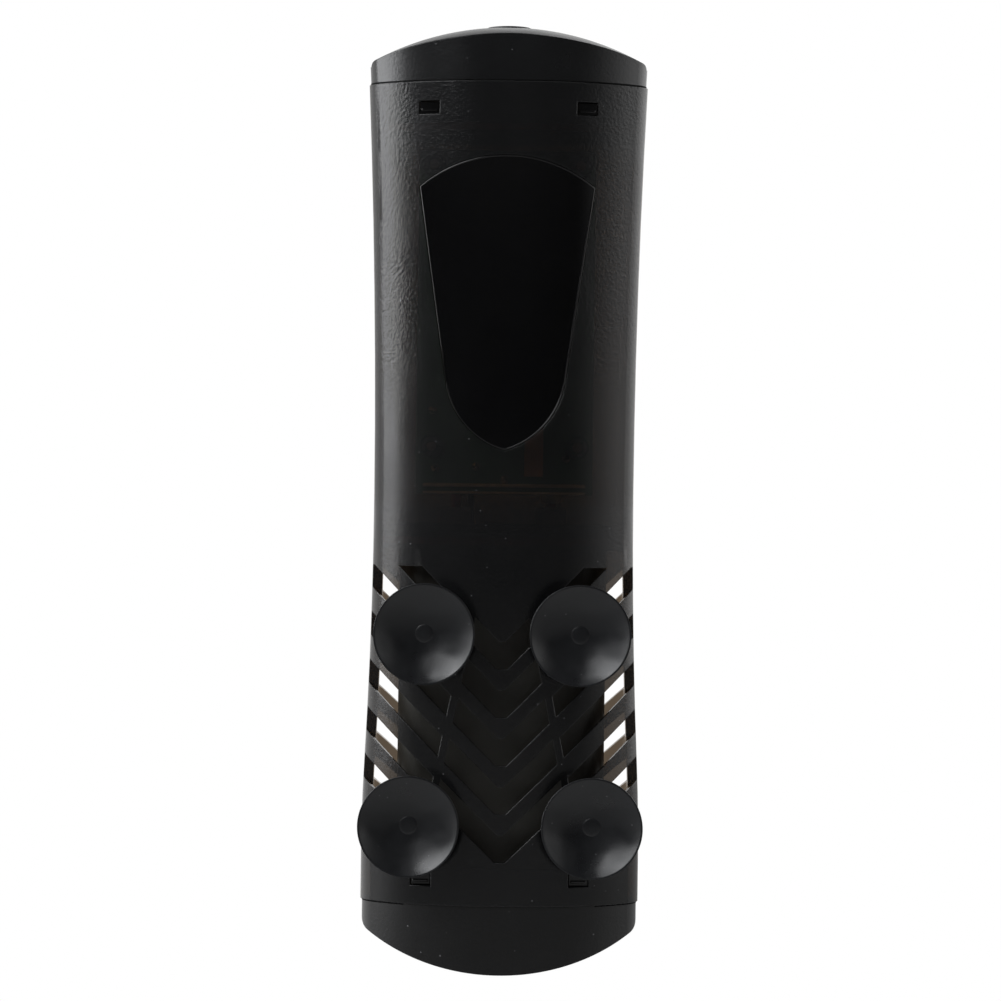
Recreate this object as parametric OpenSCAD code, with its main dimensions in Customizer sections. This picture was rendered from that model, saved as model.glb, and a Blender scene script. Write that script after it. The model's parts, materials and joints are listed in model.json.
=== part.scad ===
// Submersible aquarium heater: a flat, waisted case with a chevron grille over a heating core,
// and four suction cups that hold it to a pane. +Z runs up the case, +Y points at the pane.
// The origin lies on the pane, halfway between the two pairs of cups.

/* [Case] */
// Length over both caps
body_len = 198.6; // [190:0.1:230]
// Distance from the origin down to the lower tip
foot_drop = 51.9; // [51:0.1:60]
// Depth from front to back
body_depth = 28; // [27:0.5:32]
// Width at the waist
waist_w = 54.6; // [53:0.2:58]
// Width at the foot
foot_w = 58.4; // [57:0.2:62]
// Height of the waist above the origin
waist_z = 48.4; // [46:0.2:50]
// Gap between the back of the case and the pane
pane_gap = 5; // [4:0.25:6]
// Thickness of the case wall
wall = 2; // [1.6:0.1:2.2]

/* [Case curves] */
// Radius of the waisted side above the waist
upper_side_r = 1830; // [1200:10:3000]
// Radius of the waisted side below the waist
lower_side_r = 1110; // [800:10:1400]
// Radius that turns the lower side back to straight
foot_side_r = 400; // [250:10:500]
// Radius of the bulged back and front
crown_r = 36; // [35:0.5:45]
// Radius along the long edges
corner_r = 6; // [5:0.25:6.5]
// Width of the flat strip down the middle at the waist
crown_flat = 4; // [3:0.25:6]

/* [Caps] */
// Height of the top cap over its seam
top_cap_h = 12.5; // [11.5:0.1:15]
// Height of the bottom cap under its seam
bottom_cap_h = 15.2; // [14.5:0.1:18]
// Radius of the arched top, seen from behind
top_arch_r = 59; // [55:0.5:80]
// Radius of the arched bottom, seen from behind
bottom_arch_r = 47.5; // [45:0.5:60]
// Radius of the arched top, seen from the side
top_depth_r = 38; // [30:0.5:45]
// Radius of the arched bottom, seen from the side
bottom_depth_r = 100; // [96:1:140]
// Radius of the top cap's two corners
top_corner_r = 1.7; // [1:0.1:3]
// Radius of the bottom cap's two corners
bottom_corner_r = 3; // [1:0.1:4]
// Step from the covers in to the caps
cap_step = 0.35; // [0.1:0.05:0.6]
// Length of the spigot under the top cap
top_spigot_h = 11; // [10:0.5:12]
// Length of the spigot over the bottom cap
bottom_spigot_h = 7.5; // [7:0.5:8]
// Thickness of the spigots
spigot_t = 1.6; // [1.2:0.1:2]
// Distance between the middles of the two snap windows
snap_pitch = 32.8; // [28:0.2:36]
// Width of a snap window
snap_w = 4.3; // [3:0.1:6]
// Height of a snap window
snap_h = 2.8; // [2:0.1:3.2]
// Distance from a seam to the middle of its snap windows
snap_drop = 5.4; // [4.5:0.1:5.6]

/* [Grille] */
// Height of the uppermost slot's lower point
chevron_top_z = 12.4; // [11:0.1:14]
// Distance from slot to slot
chevron_pitch = 10; // [9.5:0.1:10.5]
// Height of a slot on the middle line
slot_h = 5.7; // [4.5:0.1:6]
// Height of a slot outside the rails
side_slot_h = 5.1; // [4:0.1:5.6]
// Slope of the uppermost slots
slot_slope = 45.6; // [43:0.1:46]
// Slope that a slot has less than the one over it
slope_step = 0.35; // [0:0.05:0.5]
// Width of a slot's blunt lower point
slot_point_w = 2.2; // [1:0.1:3]
// Width of the blunt point that hangs into a slot
slot_crook_w = 1.2; // [0.6:0.1:2]
// Number of slots down the middle
slot_count = 5; // [3:1:5]
// Height at which the slots are cut off level
grille_top_z = 33.5; // [31:0.5:35]
// Width of the two rails between the inner and outer slots
rail_w = 1.6; // [1.2:0.1:2.5]
// Distance from the middle to a rail's outer edge, level with the origin
rail_x = 11.9; // [11:0.1:13]
// Lean of the rails
rail_lean = 11.5; // [8:0.5:12]
// Height of the unbroken rim beside the seam between the covers
rim_h = 2; // [1.5:0.25:3]
// Distance from the case's side in to the end of a slot in the front
front_slot_edge = 1.2; // [1:0.1:2]
// Height of the front slots over the rear ones
front_slot_rise = 0.9; // [0:0.1:1.2]

/* [Label and lens] */
// Width of the shield over its shoulders
shield_w = 36.8; // [34:0.2:37]
// Height of the shoulders above the origin
shoulder_z = 112.5; // [110:0.5:114]
// Rise of the arched top over the shoulders
shield_rise = 6.6; // [5:0.1:7]
// Width of the shield where its sides turn into the tip
shield_hip_w = 25.2; // [23:0.2:27]
// Height of that place above the origin
hip_z = 72; // [70:0.5:74]
// Radius of the two curves that meet in the tip
shield_tip_r = 17.6; // [16:0.2:18]
// Depth of the label's recess in the back
label_recess = 0.6; // [0.4:0.05:0.9]
// Depth of the lens's recess in the front
lens_recess = 1.2; // [1:0.05:1.2]
// Gap around the label and the lens
shield_gap = 0.15; // [0.1:0.05:0.3]
// Distance that label and lens lie under the surface round them
shield_sink = 0.15; // [0.1:0.05:0.25]

/* [Suction cups] */
// Diameter of a cup
cup_d = 20.9; // [18:0.1:22]
// Distance between the upper cups
upper_cup_pitch = 32.2; // [30:0.1:33]
// Distance between the lower cups
lower_cup_pitch = 37.8; // [36:0.1:39]
// Distance between the upper and the lower pair
cup_rise = 39.6; // [39:0.1:41]
// Thickness of a cup's edge
cup_lip = 0.7; // [0.5:0.1:1]
// Depth of the hollow of a cup
cup_hollow = 3.2; // [2.5:0.1:3.6]
// Diameter of a cup's neck
neck_d = 6.2; // [5:0.1:6.6]
// Diameter of the button behind the neck
cup_button_d = 8; // [7.4:0.1:8.4]
// Thickness of that button
cup_button_t = 1.5; // [1:0.1:1.6]
// Running gap round a neck
neck_gap = 0.08; // [0.05:0.01:0.1]
// Outer diameter of a socket
socket_d = 11.2; // [11:0.1:12]
// Distance from the pane to a socket's face
socket_face = 6.6; // [6.4:0.1:6.8]
// Length of a socket's bore
socket_len = 3.6; // [3:0.1:3.8]

/* [Buttons and display] */
// Diameter of a button
button_d = 7.2; // [6:0.1:8]
// Distance between the two buttons
button_pitch = 12.8; // [12:0.2:13.4]
// Height of the buttons above the origin
button_z = 79; // [77:0.5:81]
// Travel of a button
button_travel = 0.5; // [0.3:0.05:0.6]
// Diameter of a button's stem
stem_d = 3; // [2.4:0.1:3.4]
// Running gap round a button and its stem
button_gap = 0.08; // [0.05:0.01:0.1]
// Distance that a button stands out of the lens
button_proud = 0.6; // [0.6:0.05:0.9]
// Width of the display
display_w = 22; // [18:0.2:23]
// Height of the display
display_h = 12; // [10:0.2:14]
// Height of the display's middle above the origin
display_z = 97; // [95:0.5:99]
// Width of the display board
display_board_w = 24; // [24:0.2:25]
// Distance from the buttons' middle down to the display board's lower edge
display_board_under = 8; // [7:0.5:9]
// Distance from the display up to the display board's upper edge
display_board_over = 5; // [4.5:0.5:6]
// Thickness of the display board
display_board_t = 1; // [0.8:0.1:1.2]
// Width of a switch
switch_w = 6; // [5:0.1:6.4]
// Height of a switch on its board
switch_h = 2.4; // [2:0.1:2.6]
// Diameter of a switch's plunger
plunger_d = 3.2; // [2.6:0.1:3.4]
// Length of the collar inside the cover that guides a stem
guide_len = 1.1; // [0.9:0.05:1.2]
// Diameter of that collar
guide_d = 6.4; // [6:0.1:6.8]
// Thickness of a stem's seal
stem_seal_t = 0.9; // [0.7:0.05:1]
// Diameter of a stem's seal
stem_seal_d = 5.4; // [5:0.1:6]
// Diameter of the posts under the display board
board_post_d = 3.6; // [3:0.1:4]

/* [Circuit board] */
// Width of the main board
board_w = 37; // [36:0.2:38]
// Height of the main board's lower edge above the origin
board_z = 48.5; // [47.5:0.5:50]
// Length of the main board
board_len = 72; // [70:0.5:73]
// Thickness of the main board
board_t = 1.6; // [1:0.1:2]
// Distance from the pane to the main board
board_face = 13.6; // [13.4:0.1:14.5]
// Distance from the board's sides and upper edge to its screws
screw_inset = 3.2; // [3:0.1:4]
// Height of the lower screws over the board's lower edge
screw_rise = 10; // [9:0.5:11]
// Diameter of a board screw
screw_d = 2; // [1.6:0.1:2.4]
// Diameter of a board screw's head
screw_head_d = 4; // [3.4:0.1:4.6]
// Height of a board screw's head
screw_head_h = 1.4; // [1:0.1:2]
// Diameter of a post for a board screw
post_d = 5; // [4.4:0.1:5.4]
// Width of the relay
relay_w = 15.2; // [12:0.2:16]
// Length of the relay
relay_len = 19; // [16:0.5:22]
// Height of the relay over the board
relay_h = 9; // [7:0.1:9.2]
// Diameter of the smoothing capacitor
smoother_d = 10; // [8:0.5:10.5]
// Height of the smoothing capacitor
smoother_h = 8.8; // [7:0.1:9.2]
// Width of the film capacitor behind the board
film_w = 3.9; // [3:0.1:5]
// Length of the film capacitor
film_len = 12.3; // [10:0.1:14]
// Height of the film capacitor over the board
film_h = 2.8; // [2:0.1:3.4]
// Width of the controller chip
chip_w = 10.4; // [8:0.2:11]
// Length of the controller chip
chip_len = 7.6; // [6:0.2:9]
// Height of the controller chip
chip_h = 1.6; // [1:0.1:2]
// Height of a solder joint
solder_h = 0.9; // [0.5:0.1:1.2]

/* [Heating core] */
// Width of the core's case
core_w = 43.5; // [42:0.1:44.5]
// Depth of the core's case
core_d = 12; // [11.6:0.1:12.2]
// Height of the core's lower end above the origin
core_foot_z = -31; // [-32:0.5:-30]
// Radius of the core's long edges
core_edge_r = 5; // [4.6:0.1:5.3]
// Wall of the core's case
core_wall = 1.2; // [1:0.1:1.4]
// Height of the bulkhead's underside above the origin
bulkhead_z = 37; // [36.5:0.25:38]
// Thickness of the bulkhead
bulkhead_t = 3.6; // [3:0.1:4]
// Width of the core's flange beyond its case
core_flange = 1.2; // [0.8:0.1:1.3]
// Thickness of the core's flange
core_flange_t = 1.6; // [1:0.1:2]
// Thickness of the insulating sleeve
sleeve_t = 0.3; // [0.2:0.05:0.4]
// Thickness of a heating stone
stone_t = 2.4; // [2:0.1:2.6]
// Width of a heating stone
stone_w = 29; // [24:0.5:32]
// Length of a heating stone
stone_len = 14; // [12:0.5:15]
// Number of heating stones
stone_count = 4; // [2:1:4]
// Thickness of an electrode
electrode_t = 0.8; // [0.6:0.1:1]
// Width of an electrode's terminal
tab_w = 6.3; // [4:0.1:6.3]
// Height of a terminal over the potting
tab_h = 3.5; // [3:0.1:4]
// Distance between the two terminals
tab_pitch = 20; // [18:0.5:24]

/* [Leads and seals] */
// Diameter of a heater lead
lead_d = 2; // [1.6:0.1:2.2]
// Diameter of the sensor's lead
sensor_lead_d = 1.4; // [1:0.1:1.6]
// Diameter of the temperature probe
probe_d = 3.4; // [3:0.1:3.6]
// Length of the temperature probe under the bulkhead
probe_len = 22; // [16:0.5:30]
// Distance from the middle to the temperature probe
probe_x = 7; // [6.5:0.5:8]
// Diameter of the cable bore in the gland
cable_d = 6.2; // [5:0.1:6.6]
// Diameter of the gland's collar
gland_collar_d = 9.2; // [9:0.1:11]
// Diameter of the gland's body
gland_d = 8.4; // [8.2:0.1:8.8]
// Thickness of the collar in the cap
gland_collar_t = 1.2; // [0.8:0.1:1.4]
// Distance that the collar stands over the arched top
gland_proud = 0.05; // [0.05:0.05:0.6]
// Length of the gland
gland_len = 12; // [9:0.5:14]
// Height of a seal ring
seal_h = 1.6; // [1.2:0.1:1.8]

/* [Fits] */
// Gap between fixed parts that slide together
fit = 0.1; // [0.05:0.01:0.15]
// Gap between parts that turn past each other
turn_gap = 0.3; // [0.2:0.05:0.4]
// Thickness of a glue line
glue = 0.05; // [0.02:0.01:0.08]

/* [Hidden] */
$fn = 96;
sweep_fn = 256;
far = 400;
over = 1;
mid_y = -pane_gap - body_depth / 2;
half_depth = body_depth / 2;
waist_half = waist_w / 2;
foot_half = foot_w / 2;
top_z = body_len - foot_drop;
bottom_z = -foot_drop;
top_seam_z = top_z - top_cap_h;
bottom_seam_z = bottom_z + bottom_cap_h;
// the lower side is an arc, then a counter-arc that ends upright at the foot's width;
// their common angle is rounded, and the counter-arc's radius closes the outline at that angle
widens = foot_half > waist_half;
widening = abs(foot_half - waist_half);
turn = round(10000 * acos(1 - widening / (lower_side_r + foot_side_r))) / 10000;
turn_r = widening / (1 - cos(turn)) - lower_side_r;
turn_z = waist_z - lower_side_r * sin(turn);
foot_z = waist_z - (lower_side_r + turn_r) * sin(turn);
strip_spare = 5;
half_lap = 0.5;
// how far a rounding stands over the curve that it runs into, so that the two meet in a clean edge
curve_lap = 0.002;

corner_reach = waist_half - corner_r - crown_flat / 2;
crown_y = half_depth - crown_r;
corner_y = crown_y + sqrt(pow(crown_r - corner_r, 2) - pow(corner_reach, 2));

// half of the case's width at a height over the waist
function upper_half(z) = waist_half + upper_side_r - sqrt(pow(upper_side_r, 2) - pow(z - waist_z, 2));
// half of the case's width at a height under the waist
function lower_half(z) =
    z > turn_z ? waist_half + (widens ? 1 : -1) * (lower_side_r - sqrt(pow(lower_side_r, 2) - pow(waist_z - z, 2))) :
    z > foot_z ? foot_half - (widens ? 1 : -1) * (turn_r - sqrt(pow(turn_r, 2) - pow(z - foot_z, 2))) : foot_half;
// distance from the middle of the depth to the crown's surface, a distance x from the middle strip's edge
function crown_depth(x, inset) = crown_y + sqrt(pow(crown_r - inset, 2) - pow(max(0, x), 2));

spigot_out = wall + fit;
spigot_in = spigot_out + spigot_t;
spigot_root = 3;
seal_bite = 0.9;
seal_floor = wall + fit + seal_bite;
seal_shelf = 1;
arch_slack = 0.03;
snap_slack = 0.2;
snap_x = snap_pitch / 2;
snap_out_y = mid_y + crown_depth(snap_x - crown_flat / 2 - foot_half + waist_half, wall - 1);
snap_in_y = mid_y + crown_depth(snap_x - crown_flat / 2 - foot_half + waist_half, spigot_out + spigot_t / 2);

cup_r = cup_d / 2;
neck_r = neck_d / 2;
cup_back = socket_face - turn_gap;
cup_button_z = socket_face + socket_len + turn_gap;
core_back_y = mid_y + core_d / 2;
core_front_y = mid_y - core_d / 2;
socket_end_y = core_back_y + turn_gap + fit;
cup_places = [[upper_cup_pitch / 2, cup_rise / 2], [-upper_cup_pitch / 2, cup_rise / 2],
              [lower_cup_pitch / 2, -cup_rise / 2], [-lower_cup_pitch / 2, -cup_rise / 2]];

board_back_y = -board_face;
board_front_y = board_back_y - board_t;
board_top_z = board_z + board_len;
screw_x = board_w / 2 - screw_inset;
screw_places = [for (x = [-screw_x, screw_x], z = [board_z + screw_rise, board_top_z - screw_inset]) [x, z]];
screw_bite = 3;
front_y = mid_y - half_depth;
front_inner_y = front_y + wall;
button_face_y = front_y - button_proud;
button_back_y = front_y + lens_recess - button_travel - fit;
guide_y = front_inner_y + guide_len;
stem_end_y = guide_y + stem_seal_t + turn_gap;
switch_face_y = stem_end_y + button_travel + 2 * fit;
plunger_grip = 1;
display_board_front_y = switch_face_y + switch_h;
display_board_back_y = display_board_front_y + display_board_t;
display_face_y = mid_y - crown_depth(display_w / 2 + fit - crown_flat / 2, lens_recess) + 2 * fit;
display_board_foot_z = button_z - display_board_under;
display_board_top_z = display_z + display_h / 2 + display_board_over;
board_post_inset = 2.5;
header_z = display_board_foot_z + board_post_inset;
header_w = 15.2;
header_t = 2.5;
relay_x = -9;
parts_z = 94;
smoother_x = 9;
film_x = -6.15;
film_z = 58.5;
chip_z = 63;
// places of the solder joints behind the board: under the terminals, and one per header pin
terminal_joints = [[14.4, 53.9], [15.1, 66.1], [5.9, 54.3], [0, 51.6], [-12.9, 56.2]];
pin_pitch = 2.54;
pin_joints = [for (i = [-2.5:1:2.5]) [i * pin_pitch, header_z]];
joint_r = 0.9;

bulkhead_top_z = bulkhead_z + bulkhead_t;
core_top_z = bulkhead_top_z + core_flange_t;
sleeve_w = core_w - 2 * core_wall - 2 * fit;
edge_cut = 1.5 * core_edge_r;
sleeve_d = core_d - 2 * core_wall - 2 * fit;
pack_w = sleeve_w - 2 * sleeve_t - 2 * fit;
pack_d = sleeve_d - 2 * sleeve_t - 2 * fit;
pack_foot_z = core_foot_z + core_wall + 1;
potting_z = bulkhead_z - 1;
pack_top_z = potting_z - 0.5;
electrode_y = (stone_t + electrode_t) / 2;
spreader_t = pack_d / 2 - stone_t / 2 - electrode_t;
stone_pitch = (pack_top_z - pack_foot_z) / stone_count;
tab_x = tab_pitch / 2;
tab_top_z = core_top_z + tab_h;
lead_bend_r = 1.8;
lead_end_z = 57;
sensor_end_z = 60;
fuse_d = 4.2;
fuse_len = 7;
probe_y = (core_front_y + mid_y - crown_depth(probe_x - crown_flat / 2, seal_floor)) / 2;
gland_r = gland_d / 2;
collar_r = gland_collar_d / 2;
gland_top_z = top_z + gland_proud;
collar_z = top_z - gland_collar_t;
inner_collar_z = top_z - wall - 0.5;

// ---- case section and sweep ----

// A quarter of the section from the middle strip to the side, shrunk evenly by inset: the flat
// strip, the bulged crown, the rounded corner and the upright side under it, edge to edge
module quarter_section(half_w, inset) {
    flat = half_w - waist_half + crown_flat / 2;
    join_x = flat + corner_reach * (crown_r - inset) / (crown_r - corner_r);
    side = half_w - inset;
    translate([-strip_spare, 0])
        square([strip_spare + flat, half_depth - inset]);
    intersection() {
        translate([flat, crown_y])
            circle(r = crown_r - inset);
        translate([flat, 0])
            square([join_x - flat, body_depth]);
    }
    intersection() {
        translate([flat + corner_reach, corner_y])
            circle(r = corner_r - inset + curve_lap);
        translate([join_x, corner_y])
            square(body_depth);
    }
    translate([join_x, 0])
        square([side - join_x, corner_y]);
}

// The quarter section between two depths under the surface; an inner depth of 0 leaves it solid
module skin_section(half_w, outer, inner) {
    difference() {
        quarter_section(half_w, outer);
        if (inner > 0) {
            translate([0, -over])
                square([half_w - inner, over]);
            quarter_section(half_w, inner);
        }
    }
}

// A block that keeps one half of the case between two heights, with a lap over the middle
module half_slab(z_low, z_high) {
    translate([-half_lap, -far / 2, z_low])
        cube([far, far, z_high - z_low]);
}

// A length in two steps, whole hundredths and the rest, so that neighbours meet closely
function coarse(v) = round(100 * v) / 100;
function fine(v) = v - coarse(v);

// Moves in x and z, with the depth's middle at 0
module place(x, z) {
    translate([coarse(x), mid_y, coarse(z)])
        translate([fine(x), 0, fine(z)])
            children();
}

// A quarter of the case wall along an arc that leaves the height at_z upright, upwards where up is 1
// and downwards where it is -1, and that bends away from the middle or, with outwards off, over it
module arc_sweep(face, outer, inner, r, half_w, at_z, up, outwards, angle) {
    flip = face > 0 ? 0 : 1;
    lower = up > 0 ? 0 : 1;
    centre = outwards ? r + half_w : r - half_w;
    place(outwards ? centre : -centre, at_z)
        mirror([0, 0, lower])
            rotate([90, 0, outwards ? 180 : 0])
                rotate_extrude(angle = angle, $fn = sweep_fn)
                    translate([coarse(centre), 0])
                        translate([fine(centre), 0])
                            mirror([outwards ? 1 : 0, 0])
                                mirror([0, outwards ? flip : 1 - flip])
                                    skin_section(half_w, outer, inner);
}

// One quarter of the case wall, from the middle to the side, between two heights
module quarter_sweep(face, outer, inner, z_low, z_high) {
    flip = face > 0 ? 0 : 1;
    // over the waist
    if (z_high > waist_z)
        intersection() {
            arc_sweep(face, outer, inner, upper_side_r, waist_half, waist_z, 1, true,
                      asin((z_high - waist_z + over) / upper_side_r));
            half_slab(z_low > waist_z ? z_low : waist_z - over, z_high);
        }
    // from the waist down to the turn
    if (z_high > turn_z && z_low < waist_z)
        intersection() {
            arc_sweep(face, outer, inner, lower_side_r, waist_half, waist_z, -1, widens,
                      z_low < turn_z ? turn : asin((waist_z - z_low + over) / lower_side_r));
            half_slab(z_low < turn_z ? z_low - far / 2 : z_low, z_high < waist_z ? z_high : waist_z + over);
        }
    // from the turn down to the straight foot
    if (z_high > foot_z && z_low < turn_z)
        intersection() {
            arc_sweep(face, outer, inner, turn_r, foot_half, foot_z, 1, !widens,
                      z_high > turn_z ? turn : asin((z_high - foot_z + over) / turn_r));
            half_slab(z_low > foot_z ? z_low : z_low - over, z_high > turn_z ? z_high + over : z_high);
        }
    // the straight foot
    if (z_low < foot_z)
        intersection() {
            place(0, z_high > foot_z ? foot_z : z_high)
                mirror([0, 0, 1])
                    linear_extrude((z_high > foot_z ? foot_z : z_high) - z_low + over)
                        mirror([0, flip])
                            skin_section(foot_half, outer, inner);
            half_slab(z_low, z_high > foot_z ? foot_z + over : z_high + over);
        }
}

// Half of the case wall, at the back where face is 1 and at the front where it is -1
module half_shell(face, outer, inner, z_low, z_high) {
    for (side = [0, 1])
        mirror([side, 0, 0])
            quarter_sweep(face, outer, inner, z_low, z_high);
}

// The whole case wall between two heights
module full_shell(outer, inner, z_low, z_high) {
    half_shell(1, outer, inner, z_low, z_high);
    half_shell(-1, outer, inner, z_low, z_high);
}

// ---- shared shapes ----

// A flat shape in x and z, carried through the depth between two values of y
module through(y_low, y_high) {
    translate([0, y_high, 0])
        rotate([90, 0, 0])
            linear_extrude(y_high - y_low)
                children();
}

// A rod along y
module rod_y(r, y_low, y_high) {
    through(y_low, y_high)
        circle(r = r);
}

// A centred rectangle with round corners
module rounded_rect(w, d, r) {
    square([w - 2 * r, d], center = true);
    square([w, d - 2 * r], center = true);
    for (x = [0, 1], y = [0, 1])
        mirror([x, 0])
            mirror([0, y])
                translate([w / 2 - r, d / 2 - r])
                    intersection() {
                        circle(r = r);
                        square(r);
                    }
}

// The arched end of the case, a barrel about x that the sides run into; sink moves it inwards
module arch(tip, up, arch_r, depth_r, edge_r, side, sink) {
    centre = depth_r - arch_r;
    edge_x = side - edge_r;
    edge_z = centre + sqrt(pow(arch_r - edge_r, 2) - pow(edge_x, 2));
    join_x = edge_x * (arch_r - sink) / (arch_r - edge_r);
    translate([0, mid_y, tip - up * depth_r])
        rotate([0, 90, 0])
            rotate_extrude() {
                for (end = [0, 1])
                    mirror([0, end]) {
                        intersection() {
                            translate([centre, 0])
                                circle(r = arch_r - sink, $fn = sweep_fn);
                            square([far, join_x]);
                        }
                        intersection() {
                            translate([edge_z, edge_x])
                                circle(r = edge_r - sink + curve_lap);
                            translate([edge_z, join_x])
                                square(edge_r);
                        }
                        translate([0, join_x])
                            square([edge_z, side + edge_r - join_x]);
                    }
            }
}

// The shield outline: an arched top, two leaning sides and two curves that meet in a tip
module shield(grow) {
    half_top = shield_w / 2;
    half_hip = shield_hip_w / 2;
    lean = atan((half_top - half_hip) / (shoulder_z - hip_z));
    top_r = (pow(half_top, 2) + pow(shield_rise, 2)) / (2 * shield_rise);
    hip_x = half_hip + grow * cos(lean);
    low_z = hip_z - grow * sin(lean);
    rise = shoulder_z + shield_rise - low_z + grow;
    intersection() {
        polygon([[-hip_x, low_z], [hip_x, low_z],
                 [hip_x + rise * tan(lean), low_z + rise], [-hip_x - rise * tan(lean), low_z + rise]]);
        translate([0, shoulder_z + shield_rise - top_r])
            circle(r = top_r + grow);
    }
    intersection() {
        translate([half_hip - shield_tip_r * cos(lean), hip_z + shield_tip_r * sin(lean)])
            circle(r = shield_tip_r + grow + curve_lap);
        translate([shield_tip_r * cos(lean) - half_hip, hip_z + shield_tip_r * sin(lean)])
            circle(r = shield_tip_r + grow + curve_lap);
        translate([-far / 2, low_z])
            mirror([0, 1])
                square(far);
    }
}

// A slice of the case wall under the shield, between two depths
module shield_skin(face, outer, inner, grow) {
    intersection() {
        half_shell(face, outer, inner, hip_z - shield_tip_r, shoulder_z + shield_rise + 1);
        through(mid_y - body_depth, mid_y + body_depth)
            shield(grow);
    }
}

// One slot's outline, a V with a blunt point down, h high at the point, under a blunt point crook wide
module chevron(i, h, crook) {
    z = chevron_top_z - i * chevron_pitch;
    slope = tan(slot_slope - i * slope_step);
    point = slot_point_w / 2;
    hook = crook / 2;
    low_end = z + (far - point) * slope;
    high_end = z + h + (far - hook) * slope;
    polygon([[-point, z], [point, z], [far, low_end], [far, high_end], [hook, z + h],
             [-hook, z + h], [-far, high_end], [-far, low_end]]);
}

// Half of the band between the two rails, or outside them, as far as x_end above and x_foot below
module rail_band(from_rail, x_end, x_foot) {
    slope = tan(rail_lean);
    inner = rail_w / cos(rail_lean);
    low = chevron_top_z - (slot_count + 1) * chevron_pitch - slot_h;
    if (from_rail)
        polygon([[rail_x - slope * low, low], [x_foot, low], [x_end, grille_top_z],
                 [rail_x - slope * grille_top_z, grille_top_z]]);
    else
        polygon([[-over, low], [rail_x - inner - slope * low, low],
                 [rail_x - inner - slope * grille_top_z, grille_top_z], [-over, grille_top_z]]);
}

// All slots of the grille, the outer ones as far as x_end above and x_foot below
module slots(x_end, x_foot) {
    for (side = [0, 1])
        mirror([side, 0]) {
            for (i = [0:slot_count - 1])
                intersection() {
                    chevron(i, slot_h, slot_crook_w);
                    rail_band(false, x_end, x_foot);
                }
            for (i = [0:slot_count])
                intersection() {
                    chevron(i, side_slot_h, slot_point_w);
                    rail_band(true, x_end, x_foot);
                }
        }
}

// ---- case ----

module snap_windows(seam_z, up) {
    for (x = [-snap_x, snap_x])
        translate([x - snap_w / 2, mid_y + half_depth / 4, seam_z + up * snap_drop - snap_h / 2])
            cube([snap_w, half_depth, snap_h]);
}

module rear_cover() {
    color([0.10, 0.10, 0.11])
        difference() {
            union() {
                difference() {
                    half_shell(1, 0, wall, bottom_seam_z, top_seam_z);
                    through(mid_y + rim_h, 0)
                        slots(far / 4, far / 4);
                }
                for (p = cup_places)
                    translate([p[0], 0, p[1]])
                        rod_y(socket_d / 2, socket_end_y, -socket_face);
                intersection() {
                    for (p = screw_places)
                        translate([p[0], 0, p[1]])
                            rod_y(post_d / 2, board_back_y, 0);
                    half_shell(1, wall / 2, 0, waist_z, board_top_z);
                }
            }
            shield_skin(1, -over, label_recess, 0);
            snap_windows(top_seam_z, -1);
            snap_windows(bottom_seam_z, 1);
            for (p = cup_places)
                translate([p[0], 0, p[1]]) {
                    rod_y(neck_r + neck_gap, mid_y, 0);
                    rod_y(cup_button_d / 2 + turn_gap + fit, mid_y, -socket_face - socket_len);
                }
            for (p = screw_places)
                translate([p[0], 0, p[1]])
                    rod_y(screw_d / 2 + glue, mid_y, board_back_y + screw_bite + turn_gap);
        }
}

module front_cover() {
    color([0.10, 0.10, 0.11])
        difference() {
            union() {
                difference() {
                    half_shell(-1, 0, wall, bottom_seam_z, top_seam_z);
                    through(mid_y - body_depth, mid_y - rim_h)
                        translate([0, front_slot_rise])
                            slots(waist_half - front_slot_edge, foot_half - front_slot_edge);
                }
                intersection() {
                    union() {
                        for (x = [-1, 1], z = [display_board_foot_z + board_post_inset,
                                               display_board_top_z - board_post_inset])
                            translate([x * (display_board_w / 2 - board_post_inset), 0, z])
                                rod_y(board_post_d / 2, mid_y - body_depth, display_board_front_y);
                        for (x = [-1, 1])
                            translate([x * button_pitch / 2, 0, button_z])
                                rod_y(guide_d / 2, mid_y - body_depth, guide_y);
                    }
                    half_shell(-1, lens_recess + glue, 0, waist_z, board_top_z);
                }
            }
            shield_skin(-1, -over, lens_recess, 0);
            translate([-display_w / 2 - fit, mid_y - body_depth, display_z - display_h / 2 - fit])
                cube([display_w + 2 * fit, body_depth + display_board_front_y - mid_y, display_h + 2 * fit]);
            for (x = [-1, 1])
                translate([x * button_pitch / 2, 0, button_z])
                    rod_y(stem_d / 2 + button_gap, mid_y - body_depth, mid_y);
        }
}

module top_cap() {
    side = upper_half(top_seam_z) - cap_step - arch_slack;
    color([0.08, 0.08, 0.09]) {
        difference() {
            intersection() {
                full_shell(cap_step, 0, top_seam_z, top_z + over);
                arch(top_z, 1, top_arch_r, top_depth_r, top_corner_r, side, 0);
            }
            intersection() {
                full_shell(cap_step + wall, 0, top_seam_z - over, top_z);
                arch(top_z, 1, top_arch_r, top_depth_r, wall + top_corner_r, side, wall);
            }
            translate([0, mid_y, collar_z])
                cylinder(r = collar_r + glue, h = far);
            translate([0, mid_y, top_seam_z])
                cylinder(r = gland_r + glue, h = far);
        }
        difference() {
            full_shell(spigot_out, spigot_in, top_seam_z - top_spigot_h, top_seam_z + spigot_root);
            full_shell(wall / 2, spigot_out + seal_bite, top_seam_z - top_spigot_h + seal_shelf,
                       top_seam_z - top_spigot_h + seal_shelf + seal_h);
        }
        snap_tongues(top_seam_z - snap_drop);
    }
}

// The hooks of a cap, in the rear cover's windows
module snap_tongues(z) {
    for (x = [-snap_x, snap_x])
        translate([x - snap_w / 2 + snap_slack, snap_in_y, z - snap_h / 2 + snap_slack])
            cube([snap_w - 2 * snap_slack, snap_out_y - snap_in_y, snap_h - 2 * snap_slack]);
}

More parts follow.
